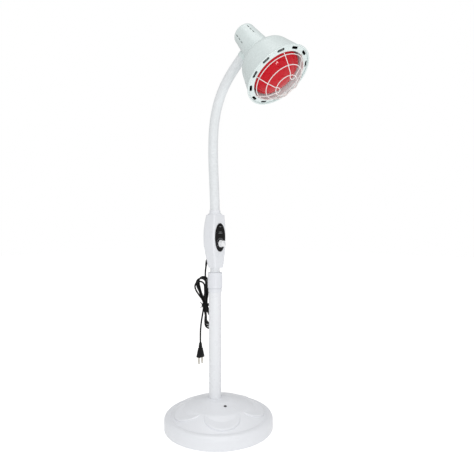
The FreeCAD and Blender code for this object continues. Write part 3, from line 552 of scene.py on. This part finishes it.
bpy.ops.mesh.primitive_cone_add(vertices=32, radius1=0.0046, radius2=0.0029, depth=PLUG_NECK / 1000.0 + 0.002,
                                location=(plug_top.x, plug_top.y, neck_z + PLUG_NECK / 2000.0 - 0.001))
parts.append(bpy.context.object)
for i in range(NECK_RINGS):
    clear_selection()
    ring_at = (plug_top.x, plug_top.y, neck_z + 0.0025 + i * NECK_RING_STEP)
    bpy.ops.mesh.primitive_torus_add(major_radius=0.0044 - i * 0.00035, minor_radius=0.0009, major_segments=32,
                                     minor_segments=8, location=ring_at)
    parts.append(bpy.context.object)
for part in parts:
    apply_all(part)
plug = joined("plug_shell", parts)
smooth(plug, 35)
dress(plug, "plug_shell", "mast", "black_rubber", stands_for=("plug_body",))
print("plug", [round(v * 1000, 1) for v in plug.dimensions])

# %% [markdown]
# Where the cord leaves the box, a soft tapered sleeve keeps it from kinking. It grows thinner along its length. The
# rings moulded into the real one, which let it bend evenly, are left out.

# %% The strain relief
relief_points = [GLAND_END - GLAND_AXIS * 0.012, GLAND_END - GLAND_AXIS * 0.004] + cord_points[:3]
relief = spline_object("cord_strain_relief", relief_points, 0.001, radii=(4.8, 4.7, 4.0, 3.2, 2.6))
paint(relief, LOOK["black_rubber"])
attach(relief, "mast")
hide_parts("cord_gland")

# %% [markdown]
# The flexible neck is a wound metal hose inside a soft white sleeve. The sleeve has fine rings, about four millimetres
# apart, that open and close as it bends. One ring is modelled, repeated along a straight line and then laid along the
# neck's curve. The sleeve is made in lengths that meet in the middle of each hidden link, so that every length crosses
# one joint.

# %% The neck's sleeve
NECK_LEANS = (0.0, -3.0, -3.0, -1.0, 3.5, 14.0, 28.0, 43.0, 50.5)
LINK = 51.5
RINGS_PER_LINK = 13
PITCH = LINK / RINGS_PER_LINK
NECK_FOOT_Z = 547.0
SLEEVE_R = 12.5
GROOVE = 0.55             # depth between two rings
BEND_REACH = 18.0         # a distance on each side of a joint, along the neck


def neck_point(s):
    """The neck's centre line at s millimetres from the box."""
    at = mm(0, POLE_BACK, NECK_FOOT_Z)
    for a, b in zip(NECK_LEANS, NECK_LEANS[1:]):
        step = min(s, LINK)
        bend = (b - a) * step / LINK
        half = math.radians(bend) / 2
        chord = step * (math.sin(half) / half if abs(half) > 1e-9 else 1.0)
        mid = math.radians(a) + half
        at += mm(0, -math.sin(mid) * chord, math.cos(mid) * chord)
        s -= step
        if s <= 1e-9:
            break
    if s > 1e-9:
        lean = math.radians(NECK_LEANS[-1])
        at += mm(0, -math.sin(lean) * s, math.cos(lean) * s)
    return at


def sleeve_ring():
    """One ring of the sleeve: a short open tube that swells in its middle."""
    clear_selection()
    bpy.ops.mesh.primitive_circle_add(vertices=48, radius=(SLEEVE_R - GROOVE) / 1000.0, fill_type="NOTHING")
    ring = bpy.context.object
    bpy.ops.object.mode_set(mode="EDIT")
    bpy.ops.mesh.select_all(action="SELECT")
    radius = SLEEVE_R - GROOVE
    height = 0.0
    for share, wanted in ((0.10, -0.50), (0.22, -0.12), (0.36, 0.0), (0.64, 0.0), (0.78, -0.12), (0.90, -0.50),
                          (1.0, -GROOVE)):
        rise = share * PITCH - height
        bpy.ops.mesh.extrude_region_move(TRANSFORM_OT_translate={"value": (0, 0, rise / 1000.0)})
        grow = (SLEEVE_R + wanted) / radius
        bpy.ops.transform.resize(value=(grow, grow, 1.0))
        height = share * PITCH
        radius = SLEEVE_R + wanted
    bpy.ops.object.mode_set(mode="OBJECT")
    return ring


def sleeve_length(name, ring, s0, count):
    """Rings repeated from s0 along the neck."""
    piece = ring.copy()
    piece.data = ring.data.copy()
    bpy.context.scene.collection.objects.link(piece)
    rows = piece.modifiers.new("rows", "ARRAY")
    rows.use_relative_offset = False
    rows.use_constant_offset = True
    rows.constant_offset_displace = (0, 0, PITCH / 1000.0)
    rows.count = count
    rows.use_merge_vertices = True
    rows.merge_threshold = 0.00005
    steps = 4 * count
    data = bpy.data.curves.new("guide", "CURVE")
    data.dimensions = "3D"
    line = data.splines.new("POLY")
    line.points.add(steps)
    for i in range(steps + 1):
        line.points[i].co = (*neck_point(s0 + count * PITCH * i / steps), 1.0)
    guide = bpy.data.objects.new("guide", data)
    bpy.context.scene.collection.objects.link(guide)
    bend = piece.modifiers.new("bend", "CURVE")
    bend.object = guide
    bend.deform_axis = "POS_Z"
    apply_all(piece)
    bpy.data.objects.remove(guide)
    smooth(piece, 60)
    piece.name = name
    paint(piece, LOOK["neck_sleeve"])
    return piece


ring = sleeve_ring()
first = sleeve_length("neck_sleeve_0", ring, LINK / 2 - 4 * PITCH, 4)
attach(first, "mast")
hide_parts("neck_link_1")
for k in range(1, 8):
    length = sleeve_length("neck_sleeve_%d" % k, ring, LINK * (k - 0.5), RINGS_PER_LINK)
    neck_point(LINK * k - BEND_REACH)
    neck_point(LINK * k + BEND_REACH)
    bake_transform(length)
    if k < 7:
        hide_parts("neck_link_%d" % (k + 1))
top = sleeve_length("neck_sleeve_8", ring, LINK * 7.5, 7)
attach(top, "head")
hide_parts("neck_link_8")
bpy.data.objects.remove(ring)
print("neck ends at", [round(v * 1000, 1) for v in neck_point(LINK * 8)])

# %% [markdown]
# The dial is printed on the black panel: a fan of strokes around the knob that grow longer towards full heat, and
# three plain bars above it. The print is paint, so it stands only a few hundredths of a millimetre off the panel. The
# knob has a dark pointer line let into its face.

# %% The dial's marks
BOX_FRONT = 17.0          # in front of the pole's axis
PANEL_T = 1.2
PANEL_Y = POLE_BACK - BOX_FRONT - PANEL_T
PRINT_LIFT = 0.02         # how far the print stands off the panel
PRINT_T = 0.06
KNOB_Z = 473.5
KNOB_GAP = 0.6
KNOB_H = 12.0
MARK = surface("dial_print", "#9FA1A4", 0.5)
MARKS = 15
MARK_START = 11.2         # distance of the strokes' inner ends from the knob's axis
parts = []
for i in range(MARKS):
    angle = math.radians(-130.0 + i * 260.0 / (MARKS - 1))
    long = 2.0 + 2.6 * i / (MARKS - 1)
    centre = MARK_START + long / 2
    stroke = block((0.55 + 0.03 * i, PRINT_T, long), mm(0, 0, 0))
    turned = Matrix.Rotation(angle, 4, "Y")
    stroke.matrix_world = Matrix.Translation(mm(centre * math.sin(angle), PANEL_Y - PRINT_LIFT,
                                                KNOB_Z + centre * math.cos(angle))) @ turned
    apply_all(stroke)
    parts.append(stroke)
for z, wide, high in ((500.0, 15.0, 0.7), (503.0, 9.0, 0.7), (516.5, 7.0, 0.8)):
    line = block((wide, PRINT_T, high), mm(0, PANEL_Y - PRINT_LIFT, z))
    apply_all(line)
    parts.append(line)
marks = joined("dial_marks", parts)
paint(marks, MARK)
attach(marks, "mast")

pointer = block((1.0, 0.5, 5.2), mm(0, PANEL_Y - KNOB_GAP - KNOB_H - PRINT_LIFT + 0.25, KNOB_Z + 3.6))
bevelled(pointer, 0.15, 2)
apply_all(pointer)
dress(pointer, "knob_pointer", "dial", "black_plastic")
